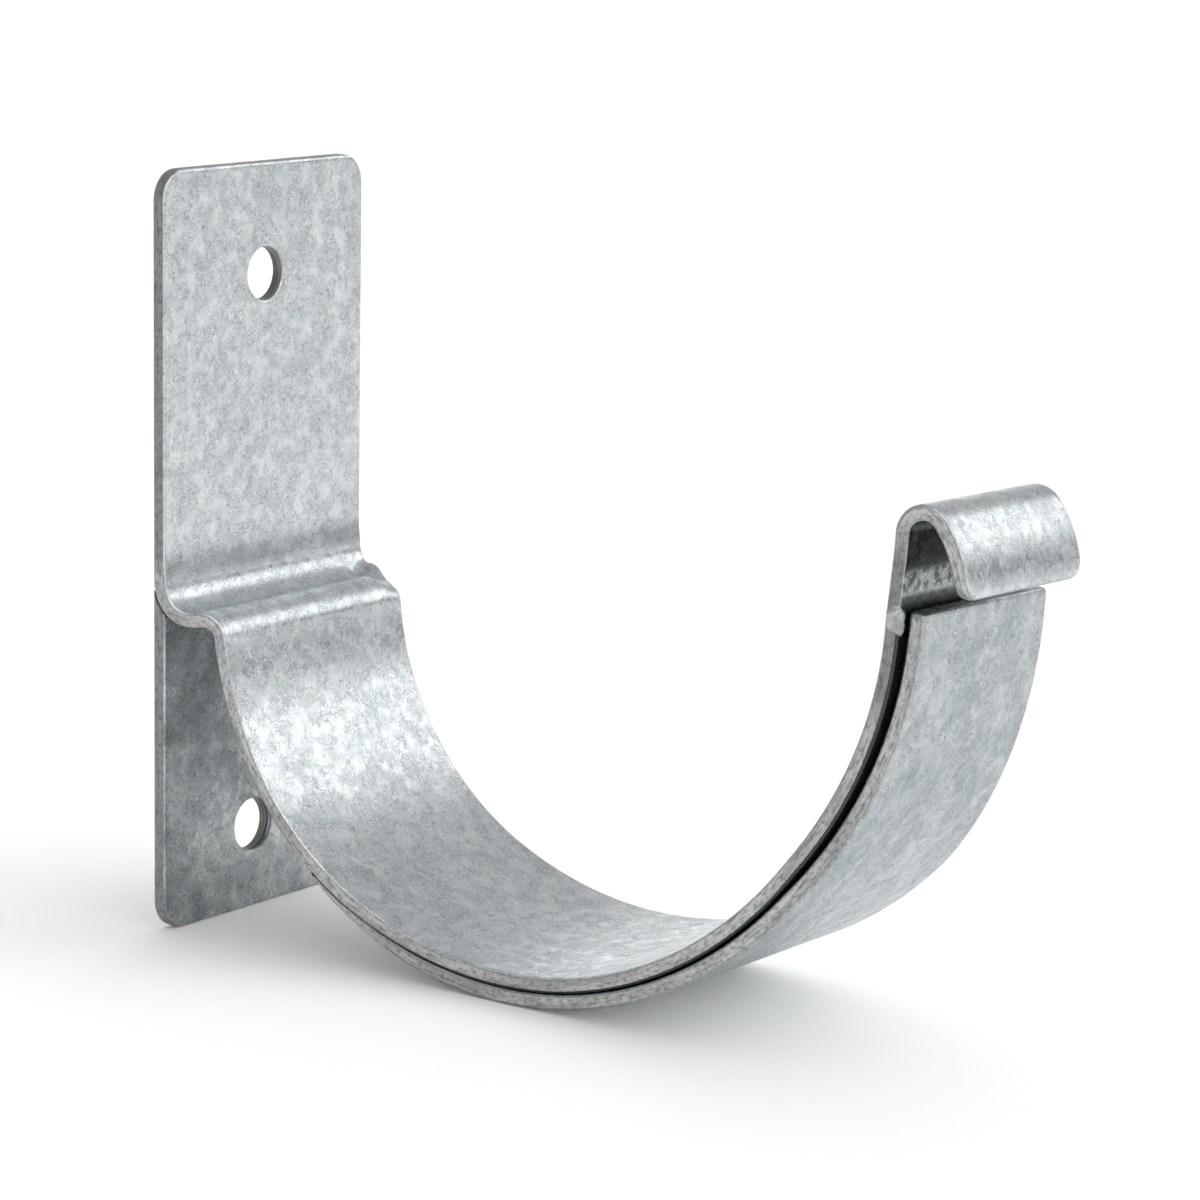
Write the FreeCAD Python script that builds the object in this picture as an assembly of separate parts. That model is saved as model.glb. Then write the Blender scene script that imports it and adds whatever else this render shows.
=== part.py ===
import FreeCAD, Part
import os
from math import asin, cos, degrees, hypot, radians, sin, sqrt

# Gutter bracket for a half-round gutter, bent and welded from flat steel. All sizes are in mm.
# X points away from the wall, Y runs along the gutter and Z is up.
# The origin is the middle of the plate's wall face.

# Flat steel
sheet = 2.0
edge_break = 0.35

# Wall plate
plate_width = 40.0
corner_radius = 4.0
hole_diameter = 7.0
hole_break = 0.25
top_hole_drop = 14.7
low_hole_rise = 11.3
low_hole_shift = 2.4
wedge_edge = 0.15

# Strap seen from above: it narrows over the double bend and again towards the curl
strap_width = 36.0
neck_start = 1.2
neck_length = 7.5
nose_length = 21.0
nose_width = 24.5
plan_round = 9.0
lip_corner = 2.2

# Hook strap seen from the side, from the top of the plate to the lip of the curl.
# Bend radii are those of the centre line, apart from the gutter's own radius.
plate_run = 53.2
root_radius = 4.65
root_turn = 99.0
shelf_run = 0.5
crest_radius = 2.55
crest_turn = 92.0
drop_run = 0.5
back_radius = 39.9
back_turn = 56.3
gutter_radius = 52.5
front_turn = 113.4
front_run = 11.25
curl_radius = 2.85
curl_turn = 139.0
lip_radius = 14.8
lip_turn = 36.0

# Outer strap, from its thin toe under the cradle to its square top end
strap_gap = 0.8
outer_run = 1.9
toe_thickness = 0.8
scarf_turn = 24.0
outer_corner = 0.8

# Welds
root_weld_leg = 1.0
root_weld_throat = 0.7
toe_weld_length = 7.0
toe_weld_swell = 0.15
tack_radius = 1.3
tack_rise = 0.6
tack_drop = 1.0

# A cutter runs this far past what it cuts
overcut = 5.0

# Lengths that differ by less than this are equal
same = 0.01


def vector(x, z, y=0.0):
    return FreeCAD.Vector(x, y, z)


# A heading is an angle in degrees in the side view, 0 along +X and 90 along +Z.
down_angle = -90.0


def ahead(heading):
    return vector(cos(radians(heading)), sin(radians(heading)))


def leftward(heading):
    return vector(-sin(radians(heading)), cos(radians(heading)))


class Run:
    """Straight stretch of a strip's centre line."""

    def __init__(self, start, heading, length):
        self.start = start
        self.heading = heading
        self.end = start + ahead(heading) * length
        self.end_heading = heading

    def edge(self, offset):
        shift = leftward(self.heading) * offset
        return Part.LineSegment(self.start + shift, self.end + shift).toShape()


class Bend:
    """Arc of a strip's centre line. It turns left for a positive turn."""

    def __init__(self, start, heading, radius, turn):
        self.start = start
        self.heading = heading
        self.turn = turn
        self.side = 1.0 if turn > 0 else -1.0
        self.radius = radius
        self.centre = start + leftward(heading) * (self.side * radius)
        self.end_heading = heading + turn
        self.end = self.at(self.end_heading)

    def at(self, heading, offset=0.0):
        """Point where the strip has this heading, moved left of the centre line by an offset."""
        return self.centre - leftward(heading) * (self.side * self.radius - offset)

    def arc(self, first, last, offset):
        stations = [self.at(heading, offset) for heading in (first, (first + last) / 2, last)]
        return Part.Arc(*stations).toShape()

    def edge(self, offset):
        return self.arc(self.heading, self.end_heading, offset)


def follow(start, heading, steps):
    """Named runs and bends in a chain: a step is a run's length, or a bend's radius and turn."""
    route = {}
    for name, step in steps.items():
        route[name] = Bend(start, heading, *step) if isinstance(step, tuple) else Run(start, heading, step)
        start = route[name].end
        heading = route[name].end_heading
    return route


def hook_route(top):
    return follow(vector(sheet / 2, top), down_angle, {
        "plate": plate_run,
        "root": (root_radius, root_turn),
        "shelf": shelf_run,
        "crest": (crest_radius, -crest_turn),
        "drop": drop_run,
        "back": (back_radius, back_turn),
        "cradle": (gutter_radius + sheet / 2, front_turn),
        "limb": front_run,
        "curl": (curl_radius, -curl_turn),
        "lip": (lip_radius, -lip_turn),
    })


def outer_route(under):
    """The outer strap touches the cradle at its toe and parts from it up the front."""
    toe = under.at(under.heading, -sheet)
    opening = strap_gap / (1 - cos(radians(under.turn)))
    return follow(toe, under.heading, {
        "bend": (under.radius + sheet + opening, under.turn),
        "run": outer_run,
    })


# The plate reaches down to the level of the cradle's underside, so the bracket stands level.
hung = outer_route(hook_route(0.0)["cradle"])["bend"]
plate_height = hung.radius + sheet / 2 - hung.centre.z
plate_top = plate_height / 2
plate_foot = -plate_height / 2
hook = hook_route(plate_top)
outer = outer_route(hook["cradle"])
reach = hook["lip"].end.x + sheet / 2


def line(a, b):
    return Part.LineSegment(a, b).toShape()


def spread(edges, width):
    """Solid of this width, centred on the XZ plane, whose side outline is made of the edges."""
    face = Part.Face(Part.Wire(Part.__sortEdges__(edges)))
    face.translate(FreeCAD.Vector(0, -width / 2, 0))
    return face.extrude(FreeCAD.Vector(0, width, 0))


def cut_to_plan(edges):
    """Solid with this side outline, as wide as the strap's outline from above."""
    return spread(edges, max(plate_width, strap_width) + 2 * overcut).common(plan_block())


def square_end(place, heading, left, right):
    return line(place + leftward(heading) * left, place + leftward(heading) * right)


def plan_block():
    """Strap seen from above, as a block over the full height."""
    neck = sheet + neck_start
    half = [
        (-overcut, plate_width),
        (neck, plate_width),
        (neck + neck_length, strap_width),
        (reach - nose_length, strap_width),
        (reach, nose_width),
        (reach + overcut, nose_width),
    ]
    near = [FreeCAD.Vector(x, -width / 2, -plate_height) for x, width in half]
    far = [FreeCAD.Vector(x, width / 2, -plate_height) for x, width in reversed(half)]
    outline = Part.makePolygon(near + far + near[:1])
    block = Part.Face(outline).extrude(FreeCAD.Vector(0, 0, 2 * plate_height))
    upright = [edge for edge in block.Edges if is_upright(edge)]
    bends = [edge for edge in upright if -same < edge.Vertexes[0].X < reach - same]
    return block.makeFillet(plan_round, bends)


def is_upright(edge):
    a, b = edge.Vertexes[0].Point, edge.Vertexes[-1].Point
    return hypot(a.x - b.x, a.y - b.y) < same < abs(a.z - b.z)


def middle_normal(face):
    u0, u1, v0, v1 = face.ParameterRange
    return face.normalAt((u0 + u1) / 2, (v0 + v1) / 2)


def lies_across(shape, place, heading):
    """True for a face or edge in the plane that ends a strap squarely at this place."""
    return all(abs((corner.Point - place).dot(ahead(heading))) < same for corner in shape.Vertexes)


def rounded_end(strap, place, heading, radius):
    """Round the two corners that a strap's end shows from its broad side."""
    end = [face for face in strap.Faces if lies_across(face, place, heading)][0]
    short_edges = sorted(end.Edges, key=lambda edge: edge.Length)[:2]
    return strap.makeFillet(radius, short_edges)


def with_blunt_rim(strap, ends):
    """Take the sharpness off a strap's sides and off the ends given."""
    def is_narrow(face):
        return abs(middle_normal(face).y) > same or any(lies_across(face, *end) for end in ends)

    rim = []
    for edge in strap.Edges:
        faces = strap.ancestorsOfType(edge, Part.Face)
        if len({is_narrow(face) for face in faces}) == 2:
            rim.append(edge)
    return strap.makeChamfer(edge_break, rim)


def goes_round(edge, y, z):
    middle = edge.CenterOfMass
    return hypot(middle.y - y, middle.z - z) < same


def with_screw_hole(plate, y, z):
    start = FreeCAD.Vector(-overcut, y, z)
    drill = Part.makeCylinder(hole_diameter / 2, sheet + 2 * overcut, start, FreeCAD.Vector(1, 0, 0))
    plate = plate.cut(drill)
    rims = [edge for edge in plate.Edges if edge.Closed and goes_round(edge, y, z)]
    return plate.makeChamfer(hole_break, rims)


def make_hook_strap():
    """One bent flat: upper plate, double bend, cradle, front limb and curl."""
    top = (hook["plate"].start, down_angle)
    lip = (hook["lip"].end, hook["lip"].end_heading)
    sides = [piece.edge(offset) for piece in hook.values() for offset in (sheet / 2, -sheet / 2)]
    ends = [square_end(*end, sheet / 2, -sheet / 2) for end in (top, lip)]
    strap = cut_to_plan(sides + ends)
    strap = rounded_end(strap, *top, corner_radius)
    strap = rounded_end(strap, *lip, lip_corner)
    strap = with_blunt_rim(strap, [top, lip])
    return with_screw_hole(strap, 0.0, plate_top - top_hole_drop)


def make_lower_plate():
    """Plate below the double bend. Its top end is ground hollow to fit the bend it stands behind."""
    bend = hook["root"]
    foot = (vector(sheet / 2, plate_foot), down_angle)
    outside = bend.radius + sheet / 2
    top = bend.centre.z - sqrt(outside ** 2 - (outside - wedge_edge) ** 2)
    corner = vector(0, plate_foot, -plate_width / 2)
    block = Part.makeBox(sheet, plate_width, top - plate_foot, corner)
    start = vector(bend.centre.x, bend.centre.z, -plate_width / 2 - overcut)
    hollow = Part.makeCylinder(outside, plate_width + 2 * overcut, start, FreeCAD.Vector(0, 1, 0))
    plate = with_blunt_rim(rounded_end(block, *foot, corner_radius), [foot])
    return with_screw_hole(plate.cut(hollow), -low_hole_shift, plate_foot + low_hole_rise)


def make_outer_strap():
    """Support strap under the front half. A scarf thins it towards its toe, on the outer side."""
    bend, run = outer["bend"], outer["run"]
    toe = bend.heading
    full = toe + scarf_turn
    top = (run.end, run.end_heading)
    thinned = sheet - toe_thickness
    scarf = Part.Arc(
        bend.at(full, -sheet / 2),
        bend.at((full + toe) / 2, -sheet / 2 + thinned / 4),
        bend.at(toe, -sheet / 2 + thinned),
    ).toShape()
    sides = [bend.edge(sheet / 2), run.edge(sheet / 2), run.edge(-sheet / 2), scarf,
             bend.arc(full, bend.end_heading, -sheet / 2)]
    ends = [
        square_end(bend.start, toe, sheet / 2, sheet / 2 - toe_thickness),
        square_end(*top, sheet / 2, -sheet / 2),
    ]
    strap = rounded_end(cut_to_plan(sides + ends), *top, outer_corner)
    return with_blunt_rim(strap, [top])


def make_toe_weld():
    """Bead that carries the outer strap's toe over into the hook strap's underside."""
    bend = hook["back"]
    last = bend.end_heading
    first = last - degrees(toe_weld_length / (bend.radius + sheet / 2))
    seat = bend.arc(first, last, -sheet / 2)
    shoulder = bend.at(last, -sheet / 2 - toe_thickness)
    tail = bend.at(first, -sheet / 2)
    swell = (shoulder + tail) * 0.5 - leftward((first + last) / 2) * toe_weld_swell
    face = Part.Arc(tail, swell, shoulder).toShape()
    return cut_to_plan([seat, line(bend.at(last, -sheet / 2), shoulder), face])


def make_root_weld():
    """Fillet bead in the fork between the lower plate and the underside of the double bend."""
    bend = hook["root"]
    outside = bend.radius + sheet / 2
    fork = degrees(asin((sheet - bend.centre.x) / outside))
    out = fork + degrees(root_weld_leg / outside)
    corner = bend.at(fork, -sheet / 2)
    foot = corner - vector(0, root_weld_leg)
    brow = bend.at(out, -sheet / 2)
    face = corner + ((foot + brow) * 0.5 - corner).normalize() * root_weld_throat
    edges = [bend.arc(fork, out, -sheet / 2), line(corner, foot), Part.Arc(foot, face, brow).toShape()]
    return spread(edges, strap_width)


def make_front_tack(side):
    """Domed bead on the two straps' edges, just below the outer strap's top end."""
    ball = (tack_radius ** 2 + tack_rise ** 2) / (2 * tack_rise)
    run = outer["run"]
    seam = run.end - ahead(run.heading) * tack_drop + leftward(run.heading) * (sheet / 2 + strap_gap)
    slope = (strap_width - nose_width) / 2 / nose_length
    half_width = nose_width / 2 + (reach - seam.x) * slope
    inward = FreeCAD.Vector(-slope, -1, 0).normalize()
    centre = vector(seam.x, seam.z, half_width) + inward * (ball - tack_rise)
    bead = Part.makeSphere(ball, centre).cut(plan_block())
    if side < 0:
        bead = bead.mirror(FreeCAD.Vector(0, 0, 0), FreeCAD.Vector(0, 1, 0))
    return bead


os.makedirs("parts", exist_ok=True)
pieces = {
    "hook_strap": make_hook_strap(),
    "lower_plate": make_lower_plate(),
    "outer_strap": make_outer_strap(),
    "root_weld": make_root_weld(),
    "toe_weld": make_toe_weld(),
    "front_tack_near": make_front_tack(-1),
    "front_tack_far": make_front_tack(1),
}
for name, shape in pieces.items():
    solid = shape.Solids[0]
    solid.exportStep("parts/" + name + ".step")
    print(name, shape.ShapeType, solid.isValid(), len(shape.Solids), round(solid.Volume, 1), solid.BoundBox)
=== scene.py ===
from math import atan2, ceil, cos, pi, radians, sin, sqrt

import bmesh
import bpy
from mathutils import Matrix, Vector


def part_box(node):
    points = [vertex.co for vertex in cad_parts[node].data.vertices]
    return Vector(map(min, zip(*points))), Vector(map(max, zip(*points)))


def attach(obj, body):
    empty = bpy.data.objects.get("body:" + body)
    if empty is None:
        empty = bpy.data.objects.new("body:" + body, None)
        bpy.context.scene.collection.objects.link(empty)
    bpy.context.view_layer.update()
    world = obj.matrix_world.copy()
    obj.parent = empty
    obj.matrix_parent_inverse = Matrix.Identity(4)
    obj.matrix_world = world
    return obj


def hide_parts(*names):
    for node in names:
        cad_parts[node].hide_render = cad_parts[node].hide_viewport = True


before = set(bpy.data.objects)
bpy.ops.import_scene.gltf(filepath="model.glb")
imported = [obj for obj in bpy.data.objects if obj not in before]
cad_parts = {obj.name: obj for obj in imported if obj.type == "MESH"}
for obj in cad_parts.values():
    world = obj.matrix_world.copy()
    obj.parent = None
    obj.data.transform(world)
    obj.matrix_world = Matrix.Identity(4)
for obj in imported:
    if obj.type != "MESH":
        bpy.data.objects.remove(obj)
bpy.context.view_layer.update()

mm = 0.001

# Gutter bracket of hot-dip galvanised flat steel. X points away from the wall, Y along the gutter, Z up.


# Camera at the photograph's place. The photograph's frame is 1200 pixels square.
photoCamera = {
    "place": (353.4, -412.7, 96.6),   # mm
    "yaw": 54.28,                     # degrees from -X towards +Y
    "pitch": 10.57,                   # looking down
    "roll": 1.04,
    "focalPixels": 4128,
    "framePixels": 1200,
    "sensor": 36.0,
    "centrePixel": (598.1, 574.9),    # where the lens axis meets the picture
}


def addCamera():
    look = photoCamera
    yaw, pitch, roll = radians(look["yaw"]), radians(look["pitch"]), radians(look["roll"])
    ahead = Vector((-cos(yaw) * cos(pitch), sin(yaw) * cos(pitch), -sin(pitch)))
    side = Vector((sin(yaw), cos(yaw), 0))
    above = side.cross(ahead)
    right = side * cos(roll) + above * sin(roll)
    up = above * cos(roll) - side * sin(roll)
    bpy.ops.object.camera_add()
    camera = bpy.context.object
    camera.name = "photoCamera"
    turn = Matrix((right, up, -ahead)).transposed().to_4x4()
    camera.matrix_world = Matrix.Translation(Vector(look["place"]) * mm) @ turn
    camera.data.sensor_width = look["sensor"]
    camera.data.lens = look["focalPixels"] / look["framePixels"] * look["sensor"]
    half = look["framePixels"] / 2
    camera.data.shift_x = (half - look["centrePixel"][0]) / look["framePixels"]
    camera.data.shift_y = (look["centrePixel"][1] - half) / look["framePixels"]
    camera.data.clip_end = 20
    bpy.context.scene.camera = camera


addCamera()
print("camera placed")


# Route of a bent strip in the side view. Headings are in degrees, 0 along +X and 90 along +Z.
def aheadOf(heading):
    return Vector((cos(radians(heading)), 0, sin(radians(heading))))


def leftOf(heading):
    return Vector((-sin(radians(heading)), 0, cos(radians(heading))))


def makeRoute(start, heading, steps):
    # a step is a run's length, or a bend's radius and turn
    route, travelled = {}, 0
    for name, step in steps.items():
        piece = {"start": start, "heading": heading, "from": travelled}
        if isinstance(step, tuple):
            radius, turn = step[0] * mm, step[1]
            side = 1 if turn > 0 else -1
            piece.update(radius=radius, side=side, turn=turn, length=radius * radians(abs(turn)))
            piece["centre"] = start + leftOf(heading) * side * radius
            heading += turn
            start = piece["centre"] - leftOf(heading) * side * radius
        else:
            piece.update(length=step * mm)
            start = start + aheadOf(heading) * piece["length"]
        piece["end"], piece["endHeading"] = start, heading
        travelled += piece["length"]
        route[name] = piece
    return route


def placeOn(piece, along, offset=0):
    # point this far along one piece of a route, moved left of the centre line by an offset
    if "turn" not in piece:
        return piece["start"] + aheadOf(piece["heading"]) * along + leftOf(piece["heading"]) * offset
    heading = piece["heading"] + piece["turn"] * along / piece["length"]
    return piece["centre"] - leftOf(heading) * (piece["side"] * piece["radius"] - offset)


def smoothStep(low, high, value):
    share = min(max((value - low) / (high - low), 0), 1)
    return share * share * (3 - 2 * share)


# The hook strap's bends, in mm and degrees, from the top of the plate to the lip of the curl
hookStrap = {
    "sheet": 2.0,
    "route": {
        "plate": 53.2,
        "root": (4.65, 99.0),
        "shelf": 0.5,
        "crest": (2.55, -92.0),
        "drop": 0.5,
        "back": (39.9, 56.3),
        "cradle": (53.5, 113.4),
        "limb": 11.25,
        "curl": (2.85, -139.0),
        "lip": (14.8, -36.0),
    },
    "topCorner": 4.0,
    "lipCorner": 2.6,
    "lipRim": 0.85,                 # the lip's end is rolled rounder than the sides
    "holeDrop": 14.7,
    "curlSides": (14.25, 11.9),     # the curl narrows more on its far side
}

# Outline from above: where each side changes its slope, and by how much
planOutline = {
    "plateHalf": 19.999,
    "strapHalf": 18.0,
    "noseHalf": 12.25,
    "neckStart": 3.2,
    "neckLength": 7.5,
    "noseLength": 21.0,
    "softness": 1.2,
}

# Flat bar: rounded rims, and the cells across its faces and along it
flatBar = {
    "rim": 0.42,
    "rimSteps": 4,
    "columns": 40,
    "edgeCells": 2,
    "cell": 1.0,        # mm along a run or bend
    "rowTurn": 5.0,     # degrees of a bend
    "cornerRows": 9,
    "leastRow": 0.2,    # mm between the last plain row and the rows of a rounded end
}

sheet = hookStrap["sheet"] * mm
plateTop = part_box("hook_strap")[1][2]
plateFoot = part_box("lower_plate")[0][2]
hookRoute = makeRoute(Vector((sheet / 2, 0, plateTop)), -90.0, hookStrap["route"])
reach = hookRoute["lip"]["end"].x + sheet / 2


def easedRamp(distance, softness):
    # 0 before a corner, then the distance past it, with a soft start
    if distance < -softness:
        return 0
    if distance > softness:
        return distance
    return (distance + softness) ** 2 / (4 * softness)


def halfWidthAt(x):
    plan = planOutline
    neckSlope = (plan["strapHalf"] - plan["plateHalf"]) / plan["neckLength"]
    noseSlope = (plan["noseHalf"] - plan["strapHalf"]) / plan["noseLength"]
    noseStart = reach / mm - plan["noseLength"]
    corners = [
        (plan["neckStart"], neckSlope),
        (plan["neckStart"] + plan["neckLength"], -neckSlope),
        (noseStart, noseSlope),
    ]
    half = plan["plateHalf"]
    for corner, change in corners:
        half += change * easedRamp(x / mm - corner, plan["softness"])
    return half * mm


def planSides(name, piece, along):
    # half widths towards the near side and the far side
    half = halfWidthAt(placeOn(piece, along).x)
    return half, half


def hookSides(name, piece, along):
    near, far = planSides(name, piece, along)
    if name in ("limb", "curl", "lip"):
        share = smoothStep(0, 1, along / piece["length"]) if name == "limb" else 1
        near += (hookStrap["curlSides"][0] * mm - near) * share
        far += (hookStrap["curlSides"][1] * mm - far) * share
    return near, far


def roundedOff(distance, radius):
    # how much a rounded corner takes off a side at this distance from the end
    if distance >= radius or radius == 0:
        return 0
    return radius - sqrt(max(radius ** 2 - (radius - distance) ** 2, 0))


def rowStations(piece, ends):
    # places along one run or bend, closer together where an end is rounded
    length = piece["length"]
    cells = ceil(length / (flatBar["cell"] * mm))
    if "turn" in piece:
        cells = max(cells, ceil(abs(piece["turn"]) / flatBar["rowTurn"]))
    stations = [length * i / cells for i in range(cells + 1)]
    for end, fromEnd in zip(ends, (False, True)):
        if end:
            rows = flatBar["cornerRows"]
            corner = max(end["corner"], end["rim"]) * mm
            bunch = [corner * (1 - cos(pi / 2 * i / rows)) for i in range(rows + 1)]
            bunch = [length - b for b in bunch] if fromEnd else bunch
            clear = corner + flatBar["leastRow"] * mm
            kept = [s for s in stations if (length - s if fromEnd else s) > clear]
            stations = kept + bunch
    return sorted(stations)


def selectWhere(mesh, wanted):
    work = bmesh.from_edit_mesh(mesh)
    work.select_mode = {"VERT"}
    for vert in work.verts:
        vert.select = wanted(vert.co)
    work.select_flush_mode()
    bmesh.update_edit_mesh(mesh)


def startSection(name, place, heading):
    # rounded rectangle, as wide and thick as the flat bar, square to the heading
    bpy.ops.object.select_all(action="DESELECT")
    bpy.ops.mesh.primitive_plane_add(size=1)
    bar = bpy.context.object
    bar.name = bar.data.name = name
    turn = Matrix((leftOf(heading), Vector((0, 1, 0)), leftOf(heading).cross(Vector((0, 1, 0))))).transposed()
    wide = 2 * planOutline["plateHalf"] * mm
    rim = flatBar["rim"] * mm
    bar.matrix_world = Matrix.Translation(place) @ turn.to_4x4() @ Matrix.Diagonal((sheet, wide, 1, 1))
    bpy.ops.object.transform_apply(location=True, rotation=True, scale=True)
    bpy.ops.object.mode_set(mode="EDIT")
    bpy.ops.mesh.select_mode(type="VERT")
    bpy.ops.mesh.select_all(action="SELECT")
    bpy.ops.mesh.bevel(offset=rim, segments=flatBar["rimSteps"], affect="VERTICES")
    bpy.ops.mesh.delete(type="ONLY_FACE")
    work = bmesh.from_edit_mesh(bar.data)
    for cuts, across in ((flatBar["columns"] - 1, True), (flatBar["edgeCells"] - 1, False)):
        # the long sides are divided into columns, the short ones into edge cells, the rims not at all
        straight = [edge for edge in work.edges if edge.calc_length() > rim * 1.2
                    and (abs((edge.verts[0].co - edge.verts[1].co).y) > mm / 10) == across]
        bmesh.ops.subdivide_edges(work, edges=straight, cuts=cuts)
    bmesh.update_edit_mesh(bar.data)
    bpy.ops.mesh.select_all(action="SELECT")
    return bar


def walkFlatBar(name, route, sides, ends):
    # takes the section along the route row by row, and narrows and thins it at a rounded end
    total = sum(piece["length"] for piece in route.values())
    rows = []
    for number, (pieceName, piece) in enumerate(route.items()):
        here = (ends[0] if number == 0 else None, ends[1] if number == len(route) - 1 else None)
        stations = rowStations(piece, here)
        rows += [(pieceName, piece, low, high) for low, high in zip(stations, stations[1:])]

    def sizeOf(pieceName, piece, along):
        near, far = sides(pieceName, piece, along)
        thick = 1
        for end, distance in zip(ends, (piece["from"] + along, total - piece["from"] - along)):
            if end:
                trim = roundedOff(distance, end["corner"] * mm)
                rim = roundedOff(distance, end["rim"] * mm)
                near, far = near - max(trim, rim), far - max(trim, rim)
                thick = min(thick, 1 - rim / (sheet / 2))
        return (near + far) / 2, (far - near) / 2, thick

    pieceName, piece, low, high = rows[0]
    bar = startSection(name, placeOn(piece, 0), piece["heading"])
    half, middle, thick = planOutline["plateHalf"] * mm, 0, 1

    def fitRow(pieceName, piece, along):
        nonlocal half, middle, thick
        newHalf, newMiddle, newThick = sizeOf(pieceName, piece, along)
        centre = placeOn(piece, along)
        edgeShade = (newThick / thick, newHalf / half, 1)
        if max(abs(value - 1) for value in edgeShade) > 1e-6:
            bpy.ops.transform.resize(value=edgeShade, center_override=(centre.x, middle, centre.z))
        if abs(newMiddle - middle) > 1e-8:
            bpy.ops.transform.translate(value=(0, newMiddle - middle, 0))
        half, middle, thick = newHalf, newMiddle, newThick

    fitRow(pieceName, piece, low)
    for pieceName, piece, low, high in rows:
        if "turn" in piece:
            turned = piece["turn"] * (high - low) / piece["length"]
            bpy.ops.mesh.spin(steps=1, angle=radians(turned), center=piece["centre"], axis=(0, 1, 0))
        else:
            step = aheadOf(piece["heading"]) * (high - low)
            bpy.ops.mesh.extrude_region_move(TRANSFORM_OT_translate={"value": step})
        fitRow(pieceName, piece, high)
    bpy.ops.mesh.edge_face_add()
    first = route[next(iter(route))]
    selectWhere(bar.data, lambda co: abs((co - first["start"]).dot(aheadOf(first["heading"]))) < mm / 1000)
    bpy.ops.mesh.edge_face_add()
    bpy.ops.mesh.select_all(action="SELECT")
    bpy.ops.mesh.normals_make_consistent(inside=False)
    bpy.ops.object.mode_set(mode="OBJECT")
    return bar


def applyAll(piece):
    bpy.context.view_layer.objects.active = piece
    for modifier in list(piece.modifiers):
        bpy.ops.object.modifier_apply(modifier=modifier.name)


def subtract(piece, cutter):
    cut = piece.modifiers.new("cutAway", "BOOLEAN")
    cut.operation = "DIFFERENCE"
    cut.object = cutter
    applyAll(piece)
    bpy.data.objects.remove(cutter)


# Screw hole: drilled through, with a broken rim on both faces
screwHole = {
    "radius": 3.5,
    "rim": 0.36,
    "rimStep": 0.35,                # share of the rim's height that one step towards the face takes
    "flares": (0.35, 0.7, 1.0),     # how far round the rim's quarter round each step ends
    "overrun": 0.3,
    "wallBand": 0.06,               # faces this near to the hole's radius are its wall
    "vertices": 128,
}


def drillHole(plate, y, z):
    hole = screwHole
    straight = hookStrap["sheet"] - 2 * hole["rim"]
    bpy.ops.object.select_all(action="DESELECT")
    bpy.ops.mesh.primitive_cylinder_add(
        vertices=hole["vertices"], radius=hole["radius"] * mm, depth=straight * mm,
        location=(sheet / 2, y, z), rotation=(0, pi / 2, 0))
    drill = bpy.context.object
    bpy.ops.object.transform_apply(location=True, rotation=True, scale=True)
    for side in (-1, 1):
        bpy.ops.object.mode_set(mode="EDIT")
        radius = hole["radius"]
        selectWhere(drill.data, lambda co: (co.x - sheet / 2) * side > 0)
        # the drill flares out along a quarter round, and runs on past the face
        steps = [(hole["radius"] + hole["rim"] * (1 - sqrt(max(1 - share ** 2, 0))),
                  hole["rim"] * hole["rimStep"] * mm) for share in hole["flares"]]
        steps.append((hole["radius"] + hole["rim"] + hole["overrun"], hole["rim"] * mm))
        for flare, move in steps:
            bpy.ops.mesh.extrude_region_move(TRANSFORM_OT_translate={"value": (move * side, 0, 0)})
            bpy.ops.transform.resize(value=(1, flare / radius, flare / radius), center_override=(0, y, z))
            radius = flare
        bpy.ops.mesh.select_all(action="SELECT")
        bpy.ops.mesh.normals_make_consistent(inside=False)
        bpy.ops.object.mode_set(mode="OBJECT")
    subtract(plate, drill)


def smoothFaces(piece):
    bpy.ops.object.select_all(action="DESELECT")
    piece.select_set(True)
    bpy.context.view_layer.objects.active = piece
    bpy.ops.object.shade_smooth()
    weighted = piece.modifiers.new("evenNormals", "WEIGHTED_NORMAL")
    weighted.weight = 60
    applyAll(piece)


# The front of the bracket is twisted a little: the near side stands higher than the far side
frontTwist = {"rise": 0.028, "start": 62.0, "full": 108.0}


def twistFront(piece):
    twist = frontTwist
    for vert in piece.data.vertices:
        share = smoothStep(twist["start"] * mm, twist["full"] * mm, vert.co.x)
        vert.co.z -= twist["rise"] * share * vert.co.y


def noteStrapPlace(piece, route):
    # for each point: metres along the strap, metres across it, and -1 to 1 through the sheet,
    # taken from the run or bend that it lies beside
    attribute = piece.data.attributes.new("strapPlace", "FLOAT_VECTOR", "POINT")
    for vert in piece.data.vertices:
        best = None
        for part in route.values():
            if "turn" in part:
                arm = (vert.co - part["centre"]) * part["side"]
                heading = atan2(arm.x, -arm.z)
                along = (heading - radians(part["heading"])) * part["side"]
                along = ((along + pi) % (2 * pi) - pi) * part["radius"]
                offset = (part["radius"] - Vector((arm.x, arm.z)).length) * part["side"]
            else:
                arm = vert.co - part["start"]
                along, offset = arm.dot(aheadOf(part["heading"])), arm.dot(leftOf(part["heading"]))
            pastEnd = max(-along, along - part["length"], 0)
            score = abs(offset) + 4 * pastEnd
            if best is None or score < best[0]:
                best = (score, part["from"] + along, offset)
        attribute.data[vert.index].vector = (best[1], vert.co.y, best[2] / (sheet / 2))


# Hand bending left the far end of the double bend pinched: moves of a spot, in mm
farPinch = [
    {"spot": (8.7, 18.6, -6.9), "move": (-0.1, 0, -0.85), "reach": 3.6},
    {"spot": (5.2, 18.8, -6.9), "move": (0.1, 0, 0.95), "reach": 2.6},
    {"spot": (3.9, 16.4, -6.3), "move": (0.1, 0, -0.75), "reach": 2.0},
]


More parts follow.
